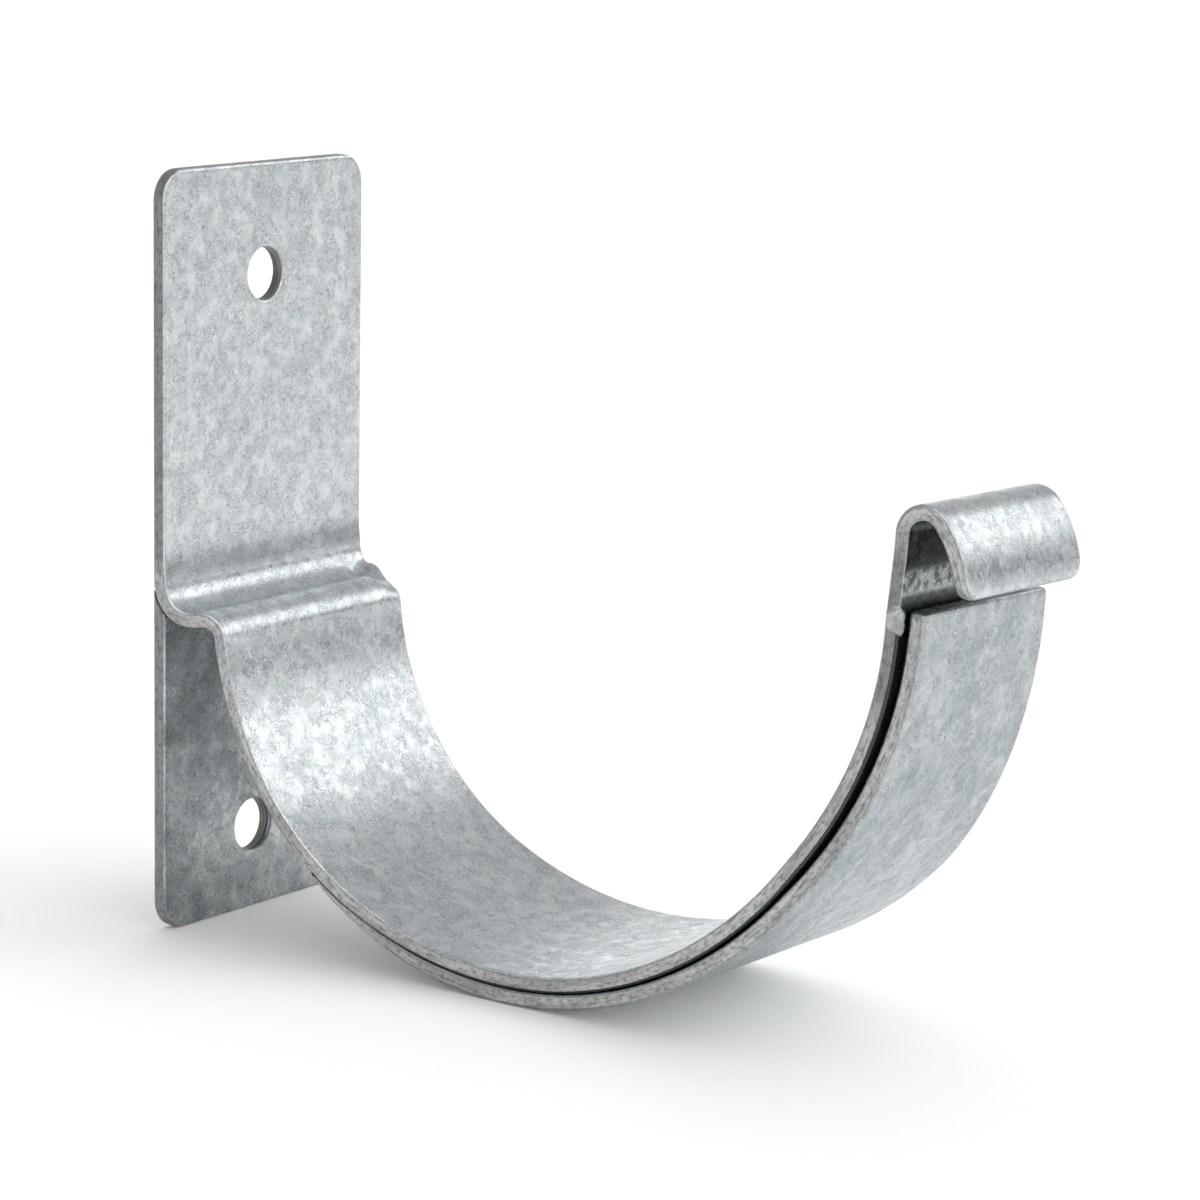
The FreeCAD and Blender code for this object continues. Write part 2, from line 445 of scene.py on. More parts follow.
def pinchFarEnd(strap):
    bpy.ops.object.mode_set(mode="EDIT")
    for dent in farPinch:
        spot = Vector(dent["spot"]) * mm
        nearest = min((vert.co - spot).length for vert in bmesh.from_edit_mesh(strap.data).verts)
        selectWhere(strap.data, lambda co: (co - spot).length < nearest + mm / 4)
        bpy.ops.transform.translate(
            value=Vector(dent["move"]) * mm, use_proportional_edit=True, proportional_edit_falloff="SMOOTH",
            proportional_size=dent["reach"] * mm)
    bpy.ops.object.mode_set(mode="OBJECT")


# The bending tool left a shallow step in the front face just above the first bend. A dark band over it is painted
# shade, in place of a dark reflection there.
# Places are mm along the strap.
pressMark = {"top": 50.4, "foot": 53.3, "fade": 61.0, "height": 0.26, "paintedBand": (48.6, 51.2, 52.2, 54.2)}


def pressTheMark(strap):
    mark, root = pressMark, hookRoute["root"]
    places = strap.data.attributes["strapPlace"].data
    for vert in strap.data.vertices:
        along, across, through = places[vert.index].vector
        rise = smoothStep(mark["top"] * mm, mark["foot"] * mm, along)
        rise -= smoothStep(mark["foot"] * mm, mark["fade"] * mm, along)
        if rise > 0 and through > 0:
            bent = min(max((along - root["from"]) / root["length"], 0), 1)
            outward = leftOf(root["heading"] + root["turn"] * bent)
            vert.co = vert.co + outward * (mark["height"] * mm * rise * smoothStep(0.2, 1, through))


def makeHookStrap():
    settings = hookStrap
    ends = ({"corner": settings["topCorner"], "rim": flatBar["rim"]},
            {"corner": settings["lipCorner"], "rim": settings["lipRim"]})
    strap = walkFlatBar("hookStrap", hookRoute, hookSides, ends)
    drillHole(strap, 0, plateTop - settings["holeDrop"] * mm)
    noteStrapPlace(strap, hookRoute)
    pressTheMark(strap)
    pinchFarEnd(strap)
    twistFront(strap)
    smoothFaces(strap)
    return strap


# Lower half of the wall plate. Its top end is ground hollow to fit under the first bend.
lowerPlate = {
    "holeRise": 11.3,
    "holeShift": -2.4,
    "footCorner": 4.0,
    "wedge": 0.15,      # thickness left at the very top
    "clearance": 0.02,
    "grinder": (256, 60),   # vertices and length of the grinding cylinder
}


def makeLowerPlate():
    root = hookRoute["root"]
    outside = root["radius"] + sheet / 2
    wedgeTop = root["centre"].z - sqrt(outside ** 2 - (outside - lowerPlate["wedge"] * mm) ** 2)
    route = makeRoute(Vector((sheet / 2, 0, wedgeTop)), -90.0, {"plate": (wedgeTop - plateFoot) / mm})
    ends = (None, {"corner": lowerPlate["footCorner"], "rim": flatBar["rim"]})
    plate = walkFlatBar("lowerPlate", route, planSides, ends)
    drillHole(plate, lowerPlate["holeShift"] * mm, plateFoot + lowerPlate["holeRise"] * mm)
    bpy.ops.object.select_all(action="DESELECT")
    vertices, length = lowerPlate["grinder"]
    bpy.ops.mesh.primitive_cylinder_add(
        vertices=vertices, radius=outside + lowerPlate["clearance"] * mm, depth=length * mm,
        location=root["centre"], rotation=(pi / 2, 0, 0))
    subtract(plate, bpy.context.object)
    noteStrapPlace(plate, route)
    smoothFaces(plate)
    return plate


# Outer strap: runs out of its weld as a thin toe, lies on the cradle and stands off it at its square top end
outerStrap = {
    "gap": 0.8,             # at the front limb
    "topRun": 1.9,
    "toeThickness": 0.8,
    "scarfTurn": 24.0,      # degrees of the bend over which the toe is ground
    "topCorner": 0.9,
    "topZinc": 0.5,         # mm at the top end that are coated like a face
    "weldLength": 7.0,
    "weldSwell": 0.15,
    "tailThickness": 0.06,
}


def makeOuterStrap():
    settings = outerStrap
    under, back = hookRoute["cradle"], hookRoute["back"]
    opening = settings["gap"] * mm / (1 - cos(radians(under["turn"])))
    innerRadius = under["radius"] + sheet / 2 + opening
    weldTurn = settings["weldLength"] * mm / (back["radius"] + sheet / 2) * 180 / pi
    tail = placeOn(back, back["length"] * (1 - weldTurn / back["turn"]), -sheet)
    route = makeRoute(tail, under["heading"] - weldTurn, {
        "weld": (back["radius"] / mm + hookStrap["sheet"], weldTurn),
        "bend": (innerRadius / mm + hookStrap["sheet"] / 2, under["turn"]),
        "run": settings["topRun"],
    })
    ends = (None, {"corner": settings["topCorner"], "rim": flatBar["rim"]})
    strap = walkFlatBar("outerStrap", route, planSides, ends)
    noteStrapPlace(strap, route)
    thinTheToe(strap, route)
    zincTheEnd(strap, route)
    twistFront(strap)
    smoothFaces(strap)
    return strap


def thinTheToe(strap, route):
    # ground from its outer face: from the tail of the weld to the toe, and on to the full sheet
    settings = outerStrap
    tail, toe = settings["tailThickness"], settings["toeThickness"]
    places = strap.data.attributes["strapPlace"].data
    for vert in strap.data.vertices:
        along, across, through = places[vert.index].vector
        for name in ("weld", "bend"):
            part = route[name]
            if not 0 <= along - part["from"] + mm / 1000 <= part["length"] + mm / 500:
                continue
            share = (along - part["from"]) / part["length"]
            if name == "weld":
                swell = settings["weldSwell"] * sin(pi * min(max(share, 0), 1))
                thick = tail + (toe - tail) * share + swell
            else:
                ground = min(share * part["turn"] / settings["scarfTurn"], 1)
                thick = hookStrap["sheet"] - (hookStrap["sheet"] - toe) * (1 - ground) ** 2
            inward = (part["centre"] - vert.co) * Vector((1, 0, 1))
            depth = (1 - through) / 2 * (hookStrap["sheet"] - thick) * mm
            vert.co = vert.co + inward.normalized() * depth
            break


def zincTheEnd(strap, route):
    # the sawn top end has no streaks of the sheared sides
    total = sum(part["length"] for part in route.values())
    for place in strap.data.attributes["strapPlace"].data:
        if place.vector.x > total - outerStrap["topZinc"] * mm:
            place.vector = (place.vector.x, place.vector.y, 1)


# Weld bead on the edges of both straps, run out below into two tails
frontTack = {
    "size": (1.25, 0.6, 1.5),
    "level": 2.3,       # up the limb from the end of the cradle
    "setBack": 0.14,
    "lean": 1.0,        # from the middle of the gap towards the gutter
    "drop": 0.75,
    "tails": [((-0.8, -1.1), (-0.05, 0, -0.6)), ((0.55, -1.3), (0.15, 0, -0.9))],   # spot on the bead and its move
    "tailReach": 1.1,
    "cells": (32, 20),
    "puddleSize": 0.7,
    "puddleHeight": 0.6,
}


def tackLevel():
    # middle of the gap between the two straps, near the outer strap's top end
    return placeOn(hookRoute["limb"], frontTack["level"] * mm, -sheet / 2 - outerStrap["gap"] * mm / 2)


def makeFrontTack(name, side):
    tack = frontTack
    limb = hookRoute["limb"]
    centre = tackLevel() - aheadOf(limb["endHeading"]) * tack["drop"] * mm
    centre = centre + leftOf(limb["endHeading"]) * tack["lean"] * mm
    sides = hookSides("limb", limb, (centre - limb["start"]).dot(aheadOf(limb["heading"])))
    centre.y = side * (sides[0 if side < 0 else 1] - tack["setBack"] * mm)
    bpy.ops.object.select_all(action="DESELECT")
    segments, rings = tack["cells"]
    bpy.ops.mesh.primitive_uv_sphere_add(segments=segments, ring_count=rings, radius=1, location=(0, 0, 0))
    bead = bpy.context.object
    bead.name = bead.data.name = name
    bead.matrix_world = Matrix.Translation(centre) @ Matrix.Diagonal([value * mm for value in tack["size"]] + [1])
    bpy.ops.object.transform_apply(location=True, rotation=True, scale=True)
    bpy.ops.object.mode_set(mode="EDIT")
    for spot, move in tack["tails"]:
        mark = centre + Vector((spot[0], side * tack["size"][1] / 2, spot[1])) * mm
        nearest = min((vert.co - mark).length for vert in bmesh.from_edit_mesh(bead.data).verts)
        selectWhere(bead.data, lambda co: (co - mark).length < nearest + mm / 20)
        bpy.ops.transform.translate(
            value=Vector(move) * mm, use_proportional_edit=True, proportional_edit_falloff="SMOOTH",
            proportional_size=tack["tailReach"] * mm)
    bpy.ops.object.mode_set(mode="OBJECT")
    puddle = bpy.data.textures.new("puddle", "CLOUDS")
    puddle.noise_scale = tack["puddleSize"] * mm
    uneven = bead.modifiers.new("puddle", "DISPLACE")
    uneven.texture = puddle
    uneven.texture_coords = "LOCAL"
    uneven.strength = tack["puddleHeight"] * mm
    applyAll(bead)
    noteStrapPlace(bead, {"limb": limb})
    twistFront(bead)
    smoothFaces(bead)
    return bead


hookPiece = makeHookStrap()
print("hook strap made", len(hookPiece.data.polygons))
lowerPiece = makeLowerPlate()
print("lower plate made", len(lowerPiece.data.polygons))
outerPiece = makeOuterStrap()
print("outer strap made", len(outerPiece.data.polygons))
nearTack = makeFrontTack("frontTackNear", -1)
farTack = makeFrontTack("frontTackFar", 1)
print("tacks made")

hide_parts("hook_strap")
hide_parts("lower_plate")
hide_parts("outer_strap", "toe_weld")
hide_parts("front_tack_near")
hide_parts("front_tack_far")
for piece in (hookPiece, lowerPiece, outerPiece):
    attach(piece, "root")
for piece in (nearTack, farTack):
    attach(piece, "root")


def linearColour(code):
    # sRGB hex code to a linear colour
    parts = [int(code[i:i + 2], 16) / 255 for i in (1, 3, 5)]
    return tuple(p / 12.92 if p <= 0.04045 else ((p + 0.055) / 1.055) ** 2.4 for p in parts) + (1,)


def addNode(tree, kind, settings=None, links=None):
    # settings go to the node's own options or to its sockets, by name or number
    node = tree.nodes.new(kind)
    for key, value in (settings or {}).items():
        if isinstance(key, str) and key not in node.inputs:
            setattr(node, key, value)
    for key, value in (settings or {}).items():
        if isinstance(key, int) or key in node.inputs:
            node.inputs[key].default_value = linearColour(value) if isinstance(value, str) else value
    for key, source in (links or {}).items():
        tree.links.new(source, node.inputs[key])
    return node


def newMaterial(name):
    material = bpy.data.materials.new(name)
    material.use_nodes = True
    material.node_tree.nodes.clear()
    return material


# Hot-dip galvanised steel: dipped in molten zinc, so it has a soft mottle of crystals under a thin grey film.
# To the eye it is a pale blue-grey metal with a broken sheen, crystal borders, fine hairlines and dark flecks.
# The cut edges are greyer and darker, with streaks along the strap where the shear tore the steel.
hotDipZinc = {
    "pale": "#DDE1E2",
    "grey": "#D2D7D9",
    "blue": "#AAB5BA",
    "white": "#F6F7F7",
    "line": "#5A6266",
    "fleck": "#626A6E",
    "edge": "#CBCCCB",
    "edgeStreak": "#5D5F5F",
    # colour of the painted shade inside the curl and in the gap
    "shadeColour": "#27302F",
    "cloud": 9.0,       # mm across one cloud of the mottle
    "crystal": 3.0,
    "smallCrystal": 1.1,
    "hair": 1.3,
    "fleckSize": 0.55,
    "grain": 0.32,
    "wobble": 2.6,      # how far the wobble moves a border, and over what distance it changes
    "wobbleSize": 1.9,
    "darkPatch": 2.3,   # patches where the dark hairs and the pale hairs show
    "palePatch": 2.9,
    "metallic": 0.88,
    "roughness": 0.22,
    "edgeRoughness": 0.16,
    "bumpDepth": 0.1,
    # how strongly each layer covers what is under it
    "crystalMix": 0.26,
    "smallCrystalMix": 0.18,
    "grainMix": 0.22,
    "borderMix": 0.35,
    "darkHairMix": 0.62,
    "paleHairMix": 0.42,
    "fleckMix": 0.5,
    "shadedEdges": [],    # stretches along the strap where the sheared edge gets painted shade, in mm
    "gapShade": False,   # painted shade on the face that the outer strap covers, where it shows in the gap
}

# Streaks of the sheared edges: mm along the strap, how many across the sheet, and the noise's levels where
# a streak starts and is full
shearStreaks = {"torn": (0.9, 1.9, 0.44, 0.66), "drawn": (4.5, 4.2, 0.52, 0.64), "edgeDarkening": (16.0, 0.4, 0.42, 0.62)}

# Painted shade on the inside of the curl and on the covered face where it shows in the gap, in mm back from the start
# of the curl
curlPaintedShade = {
    "underCurl": (5.2, 3.8),
    "lowBand": (12.0, 10.0, 7.6, 6.6),
    "blotches": (8.0, 6.0),
    "blotchSize": 1.3,
    "gapShadeStart": 12.0,   # mm into the cradle
    "gapShadeEnd": (9.5, 8.0),
}


def makeZincMaterial(name, finish, straps=True):
    material = newMaterial(name)
    tree = material.node_tree
    place = addNode(tree, "ShaderNodeTexCoord").outputs["Object"]

    def noise(size, detail=2.0, rough=0.5, distortion=0.0, vector=place):
        return addNode(tree, "ShaderNodeTexNoise", {
            "Scale": 1 / (size * mm), "Detail": detail, "Roughness": rough, "Distortion": distortion},
            {"Vector": vector})

    def ramp(source, low, high, outLow=0.0, outHigh=1.0):
        return addNode(tree, "ShaderNodeMapRange", {
            "interpolation_type": "SMOOTHSTEP", "From Min": low, "From Max": high, "To Min": outLow,
            "To Max": outHigh}, {0: source}).outputs[0]

    def maths(operation, first, second=0.5):
        settings, links = {"operation": operation}, {0: first}
        (settings if isinstance(second, (int, float)) else links)[1] = second
        return addNode(tree, "ShaderNodeMath", settings, links).outputs[0]

    def mixColour(factor, first, second):
        settings, links = {"data_type": "RGBA"}, {0: factor}
        for slot, colour in ((6, first), (7, second)):
            (settings if isinstance(colour, str) else links)[slot] = colour
        return addNode(tree, "ShaderNodeMix", settings, links).outputs[2]

    def levelLine(source, level, width):
        away = maths("ABSOLUTE", maths("SUBTRACT", source, level))
        return ramp(away, 0.0, width, 1.0, 0.0)

    # coordinates with a wobble, so that no crystal border runs straight
    shake = addNode(tree, "ShaderNodeVectorMath", {"operation": "MULTIPLY_ADD", 1: (finish["wobble"] * mm,) * 3},
                    {0: noise(finish["wobbleSize"], 4.0, 0.65).outputs["Color"], 2: place}).outputs[0]

    def crystals(size, feature="F1"):
        return addNode(tree, "ShaderNodeTexVoronoi", {"feature": feature, "Scale": 1 / (size * mm)},
                       {"Vector": shake}).outputs

    def toneOf(cells):
        return addNode(tree, "ShaderNodeSeparateColor", links={0: cells["Color"]}).outputs[0]

    tone = toneOf(crystals(finish["crystal"]))
    smallTone = toneOf(crystals(finish["smallCrystal"]))
    cloud = noise(finish["cloud"], 4.0, 0.6, 0.4).outputs["Fac"]
    grain = noise(finish["grain"], 3.0, 0.7).outputs["Fac"]
    some = ramp(noise(finish["darkPatch"], 2.0).outputs["Fac"], 0.36, 0.53)
    others = ramp(noise(finish["palePatch"], 2.0, 0.5, 0.5).outputs["Fac"], 0.52, 0.42)
    border = maths("MULTIPLY", ramp(crystals(finish["crystal"], "DISTANCE_TO_EDGE")["Distance"], 0.0, 0.04, 1.0, 0.0),
                   some)

    # hairs are level lines of a twisted noise: dark ones and bright ones, each shown here and there
    curls = noise(finish["hair"], 2.0, 0.55, 2.0).outputs["Fac"]
    fine = noise(finish["hair"] * 0.6, 2.0, 0.6, 2.6).outputs["Fac"]
    fineLine = maths("MULTIPLY", levelLine(fine, 0.46, 0.042), 0.6)
    darkHair = maths("MULTIPLY", maths("MAXIMUM", levelLine(curls, 0.5, 0.04), fineLine), some)
    paleHair = maths("MULTIPLY", maths("MAXIMUM", levelLine(curls, 0.57, 0.035), levelLine(fine, 0.56, 0.05)), others)
    fleck = ramp(noise(finish["fleckSize"], 2.0, 0.7).outputs["Fac"], 0.65, 0.72)

    colour = mixColour(ramp(cloud, 0.36, 0.64), finish["grey"], finish["pale"])
    colour = mixColour(maths("MULTIPLY", ramp(tone, 0.4, 1.0), finish["crystalMix"]), colour, finish["blue"])
    colour = mixColour(maths("MULTIPLY", smallTone, finish["smallCrystalMix"]), colour, finish["blue"])
    colour = mixColour(ramp(grain, 0.42, 0.7, 0.0, finish["grainMix"]), colour, finish["blue"])
    lines = maths("MAXIMUM", maths("MULTIPLY", border, finish["borderMix"]),
                  maths("MULTIPLY", darkHair, finish["darkHairMix"]))
    colour = mixColour(lines, colour, finish["line"])
    colour = mixColour(maths("MULTIPLY", paleHair, finish["paleHairMix"]), colour, finish["white"])
    colour = mixColour(maths("MULTIPLY", fleck, finish["fleckMix"]), colour, finish["fleck"])
    rough = maths("ADD", ramp(smallTone, 0.0, 1.0, finish["roughness"] - 0.05, finish["roughness"] + 0.08),
                  maths("MULTIPLY", grain, 0.1))

    if straps:
        strap = addNode(tree, "ShaderNodeAttribute", {"attribute_name": "strapPlace"}).outputs["Vector"]
        parts = addNode(tree, "ShaderNodeSeparateXYZ", links={0: strap}).outputs
        through = maths("ABSOLUTE", parts["Z"])
        edge = ramp(through, 0.66, 0.8, 1.0, 0.0)

        def streaks(along, size, low, high):
            drawn = addNode(tree, "ShaderNodeVectorMath", {"operation": "MULTIPLY", 1: (1 / (along * mm), 0, size)},
                            {0: strap}).outputs[0]
            return ramp(addNode(tree, "ShaderNodeTexNoise", {"Scale": 1.0, "Detail": 4.0, "Roughness": 0.65},
                                {"Vector": drawn}).outputs["Fac"], low, high)

        # torn streaks of the shear, longer duller stretches, and painted shade on the edge over the given stretches
        edgeColour = mixColour(maths("MULTIPLY", streaks(*shearStreaks["torn"]), 0.6), finish["edge"],
                               finish["edgeStreak"])
        edgeColour = mixColour(maths("MULTIPLY", streaks(*shearStreaks["drawn"]), 0.6), edgeColour,
                               finish["edgeStreak"])
        edgeDarkening = maths("MULTIPLY", streaks(*shearStreaks["edgeDarkening"]), 0.35)
        for low, high in finish["shadedEdges"]:
            edgeShade = maths("MULTIPLY", ramp(parts["X"], (low - 3) * mm, (low + 3) * mm, 0.0, 0.6),
                            ramp(parts["X"], (high - 3) * mm, (high + 3) * mm, 1.0, 0.0))
            edgeDarkening = maths("MAXIMUM", edgeDarkening, edgeShade)
        edgeColour = mixColour(edgeDarkening, edgeColour, finish["edgeStreak"])
        colour = mixColour(edge, colour, edgeColour)
        # painted shade: a dark line along each rim, between the sheared edge and the face
        colour = mixColour(maths("MULTIPLY", levelLine(through, 0.72, 0.09), 0.5), colour, finish["edgeStreak"])
        # painted shade on the inside of the curl, paler and blotched low on the limb
        curlStart = hookRoute["curl"]["from"]

        def beforeCurl(start, end, outStart=0.0, outEnd=1.0):
            return ramp(parts["X"], curlStart - start * mm, curlStart - end * mm, outStart, outEnd)

        bandStart, bandFull, bandFade, bandEnd = curlPaintedShade["lowBand"]
        inside = ramp(parts["Z"], -0.95, -0.75, 1.0, 0.0)
        high = beforeCurl(*curlPaintedShade["underCurl"], 0.0, 0.95)
        low = maths("MULTIPLY", beforeCurl(bandFade, bandEnd, 0.85, 0.0), beforeCurl(bandStart, bandFull))
        blotch = ramp(noise(curlPaintedShade["blotchSize"], 4.0, 0.7).outputs["Fac"], 0.46, 0.56, 0.35, 0.85)
        blotch = maths("MULTIPLY", blotch, beforeCurl(*curlPaintedShade["blotches"]))
        paintedShade = maths("MAXIMUM", maths("MAXIMUM", high, low), blotch)
        paintedShade = maths("MULTIPLY", paintedShade, inside)
        if finish["gapShade"]:
            # painted shade also on the face that the outer strap covers, where it shows in the gap
            cradle = hookRoute["cradle"]["from"]
            gapShade = maths("MULTIPLY", ramp(parts["X"], cradle, cradle + curlPaintedShade["gapShadeStart"] * mm),
                            beforeCurl(*curlPaintedShade["gapShadeEnd"], 0.92, 0.0))
            paintedShade = maths("MAXIMUM", paintedShade, maths("MULTIPLY", gapShade, ramp(parts["Z"], -0.7, -0.58, 1.0, 0.0)))
        colour = mixColour(paintedShade, colour, finish["shadeColour"])
        rough = maths("ADD", rough, maths("MULTIPLY", edge, finish["edgeRoughness"]))

        # painted shade: a dark band over the bending tool's mark on the front face, in place of a dark reflection
        front = ramp(parts["Z"], 0.9, 1.0)
        shadeStart, shadeFull, shadeFade, shadeEnd = [value * mm for value in pressMark["paintedBand"]]
        paintedBand = maths("MULTIPLY", ramp(parts["X"], shadeStart, shadeFull), ramp(parts["X"], shadeFade, shadeEnd, 0.5, 0.0))
        patchyBand = maths("MULTIPLY", maths("MULTIPLY", paintedBand, front), ramp(cloud, 0.3, 0.6, 0.5, 1.0))
        colour = mixColour(patchyBand, colour, finish["line"])

    height = maths("ADD", maths("MULTIPLY", noise(finish["cloud"], 1.0).outputs["Fac"], 0.7),
                   maths("MULTIPLY", smallTone, 0.03))
    height = maths("ADD", height, maths("MULTIPLY", grain, 0.05))
    height = maths("SUBTRACT", height, maths("MULTIPLY", lines, 0.08))
    height = maths("ADD", height, maths("MULTIPLY", paleHair, 0.05))
    bump = addNode(tree, "ShaderNodeBump", {"Strength": 1.0, "Distance": finish["bumpDepth"] * mm},
                   {"Height": height})
    shader = addNode(tree, "ShaderNodeBsdfPrincipled", {"Metallic": finish["metallic"]}, {
        "Base Color": colour, "Roughness": rough, "Normal": bump.outputs[0]})
    addNode(tree, "ShaderNodeOutputMaterial", links={"Surface": shader.outputs[0]})
    return material


# Weld metal under the same zinc: duller and greyer, with a coarser skin
zincedWeld = dict(hotDipZinc, pale="#B9BCBC", grey="#878C8D", crystal=1.6, roughness=0.33)

# The lower plate and the outer strap get darker copies of the zinc: painted shade, for where they lie in shade and
# reflect shaded surroundings
outerShadedZinc = dict(hotDipZinc, pale="#C2C8CA", grey="#ADB6B9", blue="#8A959A")
lowerShadedZinc = dict(hotDipZinc, pale="#CACECE", grey="#A2A8A9", blue="#848D8F", line="#4A5153",
                  shadedEdges=[(-9, 90)])

# Drilled wall of a screw hole: dark bare steel with turning lines, set 0.35 mm apart so that they show
drilledSteel = {
    "dark": "#4C4D4C",
    "pale": "#93928F",
    "lines": 0.35,
    "aroundScale": 90.0,    # per metre, so that a line keeps its tone over about 11 mm
    "lineDepth": 0.05,
    "roughness": 0.45,
    "metallic": 0.9,
}


def makeDrilledMaterial():
    finish = drilledSteel
    material = newMaterial("drilledSteelWall")
    tree = material.node_tree
    place = addNode(tree, "ShaderNodeTexCoord").outputs["Object"]
    # the noise is drawn out round the hole, and changes quickly through the plate
    scale = (1 / (finish["lines"] * mm), finish["aroundScale"], finish["aroundScale"])
    stretched = addNode(tree, "ShaderNodeMapping", {"Scale": scale}, {"Vector": place}).outputs[0]
    lines = addNode(tree, "ShaderNodeTexNoise", {"Scale": 1.0, "Detail": 2.0}, {"Vector": stretched}).outputs["Fac"]
    share = addNode(tree, "ShaderNodeMapRange", {"From Min": 0.35, "From Max": 0.68}, {0: lines}).outputs[0]
    colour = addNode(tree, "ShaderNodeMix", {"data_type": "RGBA", 6: finish["dark"], 7: finish["pale"]},
                     {0: share}).outputs[2]
    bump = addNode(tree, "ShaderNodeBump", {"Strength": 0.6, "Distance": finish["lineDepth"] * mm},
                   {"Height": lines})
    shader = addNode(tree, "ShaderNodeBsdfPrincipled", {
        "Metallic": finish["metallic"], "Roughness": finish["roughness"]},
        {"Base Color": colour, "Normal": bump.outputs[0]})
    addNode(tree, "ShaderNodeOutputMaterial", links={"Surface": shader.outputs[0]})
    return material


limbStart = hookRoute["limb"]["from"] / mm
# painted shade on the sheared edges of the plate and the limb, and on the face in the gap under the outer strap
hookZinc = dict(hotDipZinc, shadedEdges=[(-9, 52), (limbStart - 10, limbStart + 11)], gapShade=True)
zincs = {hookPiece: makeZincMaterial("hotDipGalvanisedSteel", hookZinc),
         lowerPiece: makeZincMaterial("lowerShadedGalvanisedSteel", lowerShadedZinc),
         outerPiece: makeZincMaterial("outerShadedGalvanisedSteel", outerShadedZinc)}
weldZinc = makeZincMaterial("galvanisedWeldMetal", zincedWeld, straps=False)
drilled = makeDrilledMaterial()
for piece, zinc in zincs.items():
    piece.data.materials.clear()
    piece.data.materials.append(zinc)
for piece in (nearTack, farTack):
    piece.data.materials.clear()
    piece.data.materials.append(weldZinc)
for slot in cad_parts["root_weld"].material_slots:
    slot.material = weldZinc

holes = ((hookPiece, 0, plateTop - hookStrap["holeDrop"] * mm),
         (lowerPiece, lowerPlate["holeShift"] * mm, plateFoot + lowerPlate["holeRise"] * mm))
for piece, y, z in holes:
    piece.data.materials.append(drilled)
    for face in piece.data.polygons:
        arm = Vector((0, face.center.y - y, face.center.z - z)).length
        if face.center.x < sheet + mm and arm < (screwHole["radius"] + screwHole["wallBand"]) * mm:
            face.material_index = 1
print("materials made")


# Pale floor, a plain sky and a light tent that only reflections see
studio = {
    "floorSize": 8.0,
    "floorColour": "#FAFAFA",
    "floorGlow": 0.08,
    "horizon": 1.62,        # light from low in the sky, so the shadow stays close to the object
    "zenith": 0.68,
    "skyHeights": (0.2, 0.9),
    "brightSide": (0.35, 0.75, 0.0),
    "keyStrength": 0.25,
    "keyFrom": (0.44, 0.5, 0.75),
    "keyAngle": 50,
    "tentRadius": 2.2,
    "tentCells": (64, 32),
    "tentGrey": 0.5,
    # glow over the grey, bearings in degrees from +X, heights as the sine of the elevation
    "patches": [
        (1.32, (20, 35, 67, 82), (0.15, 0.25, 0.53, 0.66)),       # large window on the right
        (-0.42, (20, 35, 78, 95), (-0.2, -0.1, 0.07, 0.18)),      # dark wall under it
        (0.75, (103, 124, 150, 178), (-0.2, -0.1, 0.12, 0.45)),   # pale wall on the left
        (0.9, (-110, -92, 8, 24), (0.12, 0.3, 0.85, 0.95)),       # lamp over the camera's right shoulder
    ],
}


def seenByCamera(tree):
    # 1 for camera, mirror and transmission rays
    rays = addNode(tree, "ShaderNodeLightPath").outputs
    seen = addNode(tree, "ShaderNodeMath", {"operation": "MAXIMUM"},
                   {0: rays["Is Camera Ray"], 1: rays["Is Glossy Ray"]})
    return addNode(tree, "ShaderNodeMath", {"operation": "MAXIMUM"},
                   {0: seen.outputs[0], 1: rays["Is Transmission Ray"]}).outputs[0]


def makeFloor():
    bpy.ops.object.select_all(action="DESELECT")
    bpy.ops.mesh.primitive_plane_add(size=studio["floorSize"], location=(0, 0, plateFoot))
    floor = bpy.context.object
    floor.name = "studioFloor"
    material = newMaterial("paleFloor")
    tree = material.node_tree
    rays = addNode(tree, "ShaderNodeLightPath").outputs
    glow = addNode(tree, "ShaderNodeMath", {"operation": "MULTIPLY", 1: studio["floorGlow"]},
                   {0: rays["Is Camera Ray"]})
    shader = addNode(tree, "ShaderNodeBsdfPrincipled", {
        "Base Color": studio["floorColour"], "Roughness": 1.0, "Specular IOR Level": 0.0,
        "Emission Color": "#FFFFFF"}, {"Emission Strength": glow.outputs[0]})
    addNode(tree, "ShaderNodeOutputMaterial", links={"Surface": shader.outputs[0]})
    floor.data.materials.append(material)


def makeWorld():
    world = bpy.data.worlds.new("whiteStudio")
    bpy.context.scene.world = world
    world.use_nodes = True
    tree = world.node_tree
    tree.nodes.clear()
    # the camera and mirrors see plain white, and only diffuse light comes from the uneven sky
    place = addNode(tree, "ShaderNodeTexCoord").outputs["Generated"]
    height = addNode(tree, "ShaderNodeSeparateXYZ", links={0: place}).outputs["Z"]
    low, high = studio["skyHeights"]
    sky = addNode(tree, "ShaderNodeMapRange", {
        "From Min": low, "From Max": high, "To Min": studio["horizon"], "To Max": studio["zenith"]}, {0: height})
    side = addNode(tree, "ShaderNodeVectorMath", {"operation": "DOT_PRODUCT", 1: studio["brightSide"]}, {0: place})
    share = addNode(tree, "ShaderNodeMath", {"operation": "ADD", 1: 1.0}, {0: side.outputs["Value"]})
    sky = addNode(tree, "ShaderNodeMath", {"operation": "MULTIPLY"}, {0: sky.outputs[0], 1: share.outputs[0]})
    strength = addNode(tree, "ShaderNodeMapRange", {"To Max": 1.0}, {0: seenByCamera(tree), 3: sky.outputs[0]})
    light = addNode(tree, "ShaderNodeBackground", {"Color": "#FFFFFF"}, {"Strength": strength.outputs[0]})
    addNode(tree, "ShaderNodeOutputWorld", links={"Surface": light.outputs[0]})


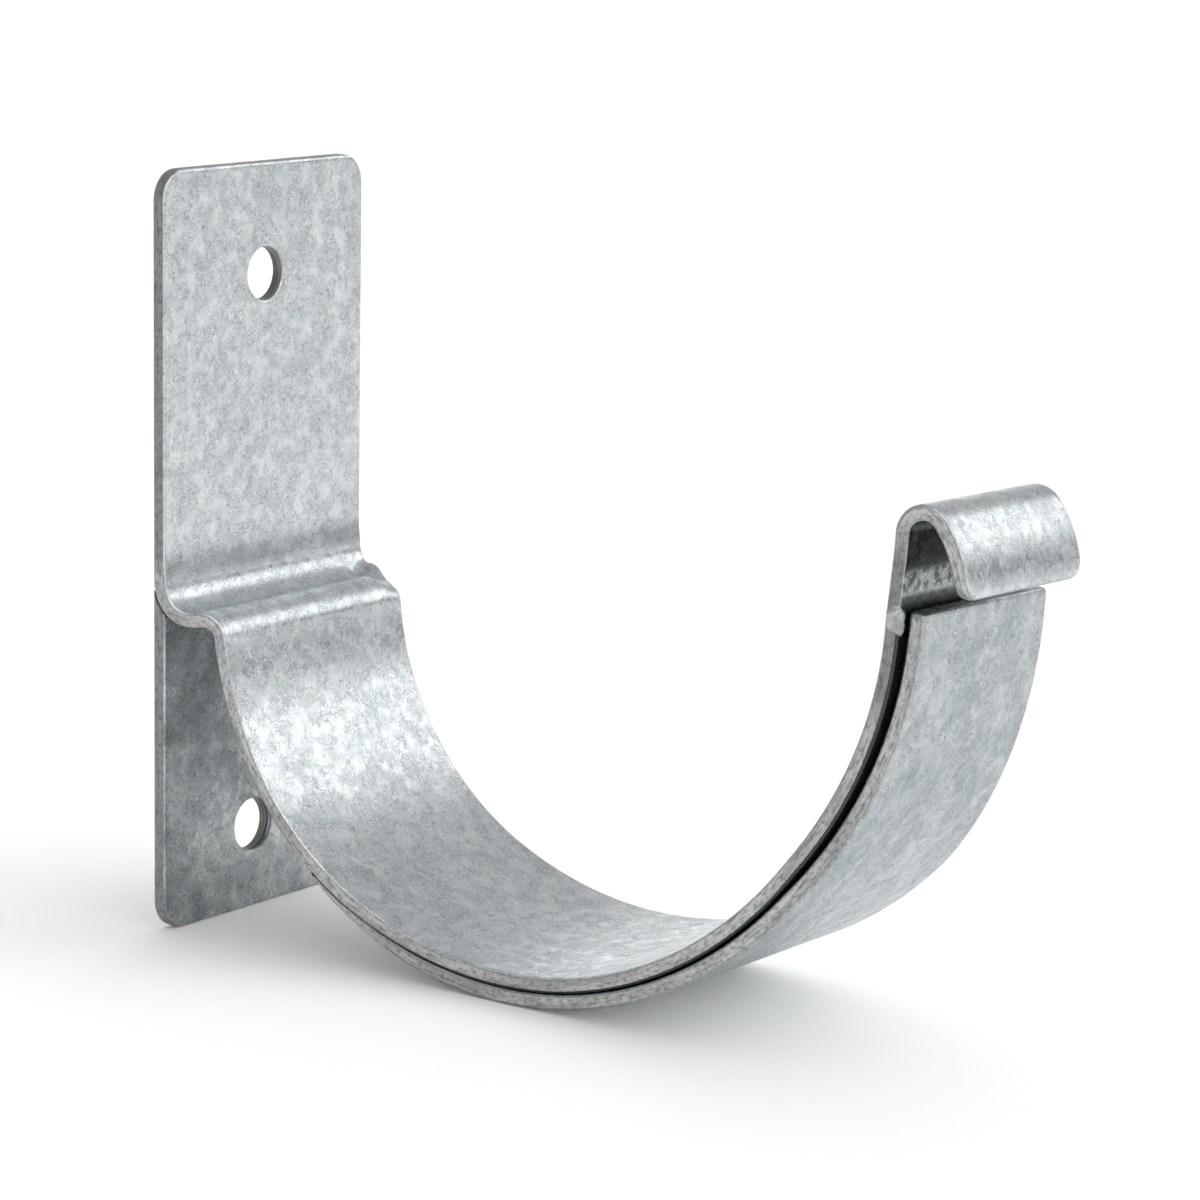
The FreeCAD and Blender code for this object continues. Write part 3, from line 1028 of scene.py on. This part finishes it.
def makeTent():
    # upper half of a sphere round the object, which glows in patches
    bpy.ops.object.select_all(action="DESELECT")
    segments, rings = studio["tentCells"]
    bpy.ops.mesh.primitive_uv_sphere_add(segments=segments, ring_count=rings, radius=studio["tentRadius"])
    tent = bpy.context.object
    tent.name = "lightTent"
    bpy.ops.object.mode_set(mode="EDIT")
    selectWhere(tent.data, lambda co: co.z < -0.01)
    bpy.ops.mesh.delete(type="VERT")
    bpy.ops.object.mode_set(mode="OBJECT")
    material = newMaterial("tentCloth")
    tree = material.node_tree
    place = addNode(tree, "ShaderNodeTexCoord").outputs["Object"]
    axes = addNode(tree, "ShaderNodeSeparateXYZ", links={
        0: addNode(tree, "ShaderNodeVectorMath", {"operation": "NORMALIZE"}, {0: place}).outputs[0]}).outputs
    bearing = addNode(tree, "ShaderNodeMath", {"operation": "ARCTAN2"}, {0: axes["Y"], 1: axes["X"]}).outputs[0]

    def band(source, *levels):
        # rises between the first two levels and falls between the last two
        rise = addNode(tree, "ShaderNodeMapRange", {
            "interpolation_type": "SMOOTHSTEP", "From Min": levels[0], "From Max": levels[1]}, {0: source}).outputs[0]
        fall = addNode(tree, "ShaderNodeMapRange", {
            "interpolation_type": "SMOOTHSTEP", "From Min": levels[2], "From Max": levels[3], "To Min": 1.0,
            "To Max": 0.0}, {0: source}).outputs[0]
        return addNode(tree, "ShaderNodeMath", {"operation": "MULTIPLY"}, {0: rise, 1: fall}).outputs[0]

    def patch(glow, bearings, heights):
        both = addNode(tree, "ShaderNodeMath", {"operation": "MULTIPLY"}, {
            0: band(bearing, *[radians(b) for b in bearings]), 1: band(axes["Z"], *heights)}).outputs[0]
        return addNode(tree, "ShaderNodeMath", {"operation": "MULTIPLY", 1: glow}, {0: both}).outputs[0]

    total = None
    for glow, bearings, heights in studio["patches"]:
        new = patch(glow, bearings, heights)
        total = new if total is None else addNode(tree, "ShaderNodeMath", {"operation": "ADD"},
                                                  {0: total, 1: new}).outputs[0]
    total = addNode(tree, "ShaderNodeMath", {"operation": "ADD", 1: studio["tentGrey"]}, {0: total}).outputs[0]
    glow = addNode(tree, "ShaderNodeEmission", {"Color": "#FFFFFF"}, {"Strength": total})
    addNode(tree, "ShaderNodeOutputMaterial", links={"Surface": glow.outputs[0]})
    tent.data.materials.append(material)
    for ray in ("camera", "diffuse", "transmission", "shadow", "volume_scatter"):
        setattr(tent, "visible_" + ray, False)


def addKeyLight():
    bpy.ops.object.light_add(type="SUN")
    key = bpy.context.object
    key.name = "softKey"
    key.data.energy = studio["keyStrength"]
    key.data.angle = radians(studio["keyAngle"])
    key.rotation_euler = Vector(studio["keyFrom"]).to_track_quat("Z", "Y").to_euler()
    key.visible_glossy = False


makeFloor()
makeWorld()
makeTent()
addKeyLight()
bpy.context.scene.view_settings.view_transform = "Standard"
print("studio made")
